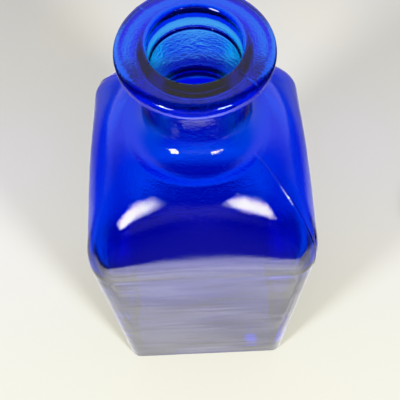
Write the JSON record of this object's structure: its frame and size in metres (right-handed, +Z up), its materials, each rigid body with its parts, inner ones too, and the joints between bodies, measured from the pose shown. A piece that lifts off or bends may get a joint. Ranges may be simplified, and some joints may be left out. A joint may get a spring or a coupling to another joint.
{
  "type": "square glass bottle with plug stopper",
  "caption": "Square moulded-glass bottle with a domed shoulder, short round neck and broad flanged lip, closed by a loose knobbed plug stopper with a cork sleeve.",
  "frame": {"origin": "centre of the bottle's resting plane, under its base", "axes": "+Z up along the neck, +Y towards the back of the bottle, +X towards the side on which the stopper lies"},
  "size_m": [0.23, 0.08, 0.194],
  "materials": {
    "cobalt_glass": "clear, deep cobalt blue, smooth outside and wavy inside",
    "stopper_glass": "clear, deep cobalt blue, smooth",
    "cork": "natural cork, dry and fine-pored"
  },
  "bodies": {
    "bottle_body": {"bottle": "cobalt_glass"},
    "stopper": {"stopper_head": "stopper_glass", "stopper_cork": "cork"}
  },
  "joints": [
    {"name": "stopper_swing", "type": "hinge", "parent": "bottle_body", "child": "stopper", "pos_m": [0.17745, 0, 0.1943], "axis": [0, -1, 0], "range_deg": [0, 271.88]}
  ]
}
